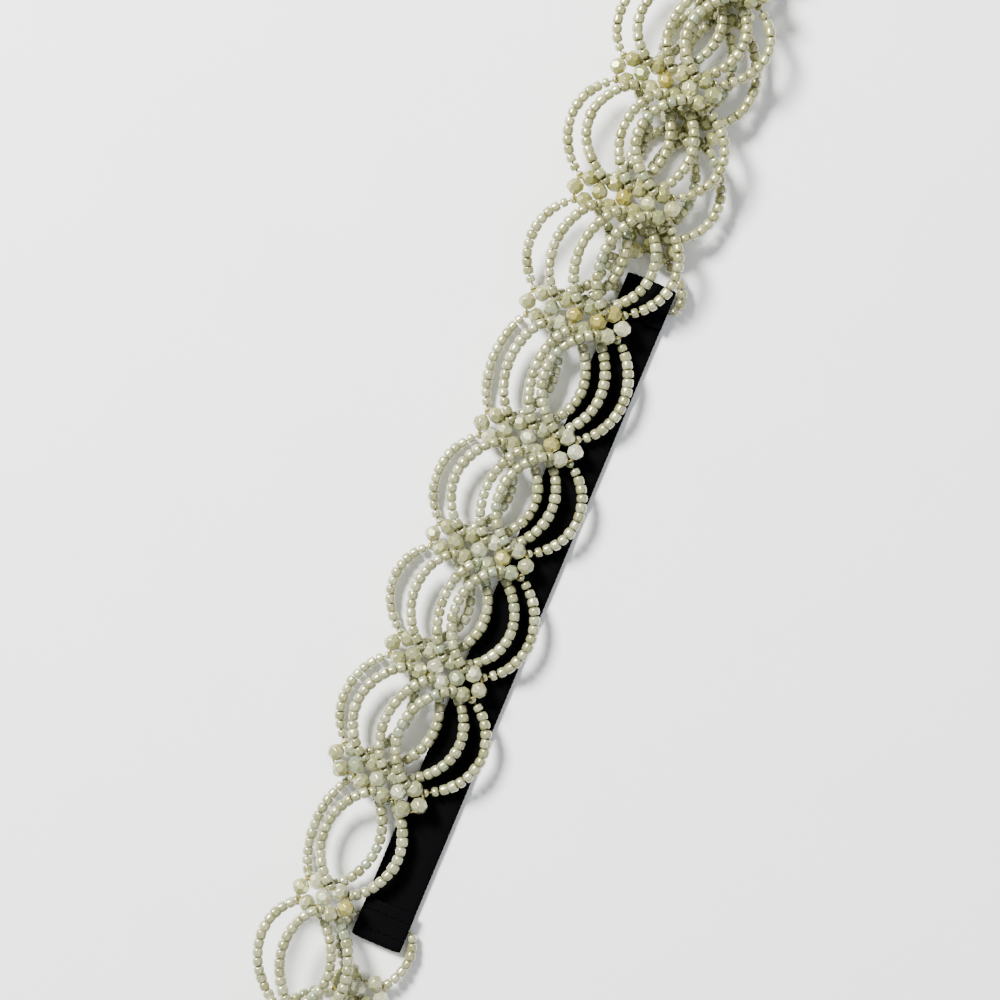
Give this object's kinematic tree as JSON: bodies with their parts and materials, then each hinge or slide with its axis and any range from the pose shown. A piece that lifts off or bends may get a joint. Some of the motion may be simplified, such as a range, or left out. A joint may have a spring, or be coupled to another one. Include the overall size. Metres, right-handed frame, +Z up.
{
  "type": "headband",
  "caption": "Beaded elastic headband laid flat: pearl clusters joined by rings of seed beads, closed at the back by a plain elastic band.",
  "frame": {"origin": "on the surface it lies on, under the middle of the flattened loop", "axes": "+Y along the band, +X across it towards the elastic, +Z up from the surface"},
  "size_m": [0.0389, 0.2431, 0.0122],
  "materials": {
    "pearl": "satin",
    "seed_bead": "gloss",
    "elastic": "matte",
    "sewing_thread": "matte",
    "beading_thread": "matte"
  },
  "bodies": {
    "band": {"bottom_end_ring_beads": "seed_bead", "bottom_fold_beads": "seed_bead", "bottom_hem_stitches": "sewing_thread", "elastic_band": "elastic", "hem_threads": "beading_thread", "inner_ring_beads_03": "seed_bead", "inner_ring_beads_04": "seed_bead", "inner_ring_beads_05": "seed_bead", "inner_ring_beads_06": "seed_bead", "inner_ring_beads_07": "seed_bead", "inner_ring_beads_08": "seed_bead", "inner_ring_beads_09": "seed_bead", "pearl_cluster_00": "pearl", "pearl_cluster_01": "pearl", "pearl_cluster_02": "pearl", "pearl_cluster_03": "pearl", "pearl_cluster_04": "pearl", "pearl_cluster_05": "pearl", "pearl_cluster_06": "pearl", "pearl_cluster_07": "pearl", "pearl_cluster_08": "pearl", "pearl_cluster_09": "pearl", "pearl_cluster_10": "pearl", "pearl_cluster_11": "pearl", "pearl_cluster_12": "pearl", "pearl_cluster_13": "pearl", "ring_beads_01": "seed_bead", "ring_beads_02": "seed_bead", "ring_beads_11": "seed_bead", "ring_beads_12": "seed_bead", "top_end_ring_beads": "seed_bead", "top_fold_beads": "seed_bead", "top_hem_stitches": "sewing_thread"},
    "left_edge_03": {"left_edge_strand_03": "seed_bead"},
    "right_edge_03": {"right_edge_strand_03": "seed_bead"},
    "left_edge_04": {"left_edge_strand_04": "seed_bead"},
    "right_edge_04": {"right_edge_strand_04": "seed_bead"},
    "left_edge_05": {"left_edge_strand_05": "seed_bead"},
    "right_edge_05": {"right_edge_strand_05": "seed_bead"},
    "left_edge_06": {"left_edge_strand_06": "seed_bead"},
    "right_edge_06": {"right_edge_strand_06": "seed_bead"},
    "left_edge_07": {"left_edge_strand_07": "seed_bead"},
    "right_edge_07": {"right_edge_strand_07": "seed_bead"},
    "left_edge_08": {"left_edge_strand_08": "seed_bead"},
    "right_edge_08": {"right_edge_strand_08": "seed_bead"},
    "left_edge_09": {"left_edge_strand_09": "seed_bead"},
    "right_edge_09": {"right_edge_strand_09": "seed_bead"}
  },
  "joints": [
    {"name": "left_edge_03_swing", "type": "hinge", "parent": "band", "child": "left_edge_03", "pos_m": [-0.01021, -0.04872, 0.0015], "axis": [0.0586, 0.9983, 0.0048], "range_deg": [0, 30]},
    {"name": "right_edge_03_swing", "type": "hinge", "parent": "band", "child": "right_edge_03", "pos_m": [0.00991, -0.05101, 0.00308], "axis": [-0.0623, -0.998, -0.0046], "range_deg": [0, 30]},
    {"name": "left_edge_04_swing", "type": "hinge", "parent": "band", "child": "left_edge_04", "pos_m": [-0.00984, -0.02467, 0.00154], "axis": [-0.0661, 0.9978, -0.0058], "range_deg": [0, 30]},
    {"name": "right_edge_04_swing", "type": "hinge", "parent": "band", "child": "right_edge_04", "pos_m": [0.01032, -0.02486, 0.00312], "axis": [0.0555, -0.9984, 0.0043], "range_deg": [0, 30]},
    {"name": "left_edge_05_swing", "type": "hinge", "parent": "band", "child": "left_edge_05", "pos_m": [-0.01052, -0.00076, 0.00148], "axis": [0.0233, 0.9997, 0.0019], "range_deg": [0, 30]},
    {"name": "right_edge_05_swing", "type": "hinge", "parent": "band", "child": "right_edge_05", "pos_m": [0.00964, 0.00074, 0.00306], "axis": [-0.0208, -0.9998, -0.0016], "range_deg": [0, 30]},
    {"name": "left_edge_06_swing", "type": "hinge", "parent": "band", "child": "left_edge_06", "pos_m": [-0.01082, 0.02454, 0.00176], "axis": [-0.0264, 0.9992, 0.0288], "range_deg": [0, 30]},
    {"name": "right_edge_06_swing", "type": "hinge", "parent": "band", "child": "right_edge_06", "pos_m": [0.009, 0.02648, 0.00342], "axis": [0.0293, -0.9989, -0.036], "range_deg": [0, 30]},
    {"name": "left_edge_07_swing", "type": "hinge", "parent": "band", "child": "left_edge_07", "pos_m": [-0.01182, 0.04981, 0.0052], "axis": [0.0163, 0.9797, 0.2], "range_deg": [0, 30]},
    {"name": "right_edge_07_swing", "type": "hinge", "parent": "band", "child": "right_edge_07", "pos_m": [0.00829, 0.05236, 0.00593], "axis": [-0.0127, -0.9931, -0.1168], "range_deg": [0, 30]},
    {"name": "left_edge_08_swing", "type": "hinge", "parent": "band", "child": "left_edge_08", "pos_m": [-0.01296, 0.07432, 0.00706], "axis": [-0.0472, 0.9989, -0.0004], "range_deg": [0, 30]},
    {"name": "right_edge_08_swing", "type": "hinge", "parent": "band", "child": "right_edge_08", "pos_m": [0.00729, 0.07684, 0.00705], "axis": [0.0415, -0.9991, 0], "range_deg": [0, 30]},
    {"name": "left_edge_09_swing", "type": "hinge", "parent": "band", "child": "left_edge_09", "pos_m": [-0.01297, 0.09905, 0.00706], "axis": [0.0957, 0.9954, 0.0006], "range_deg": [0, 30]},
    {"name": "right_edge_09_swing", "type": "hinge", "parent": "band", "child": "right_edge_09", "pos_m": [0.00738, 0.10012, 0.00705], "axis": [-0.1097, -0.994, 0.0005], "range_deg": [0, 30]}
  ]
}
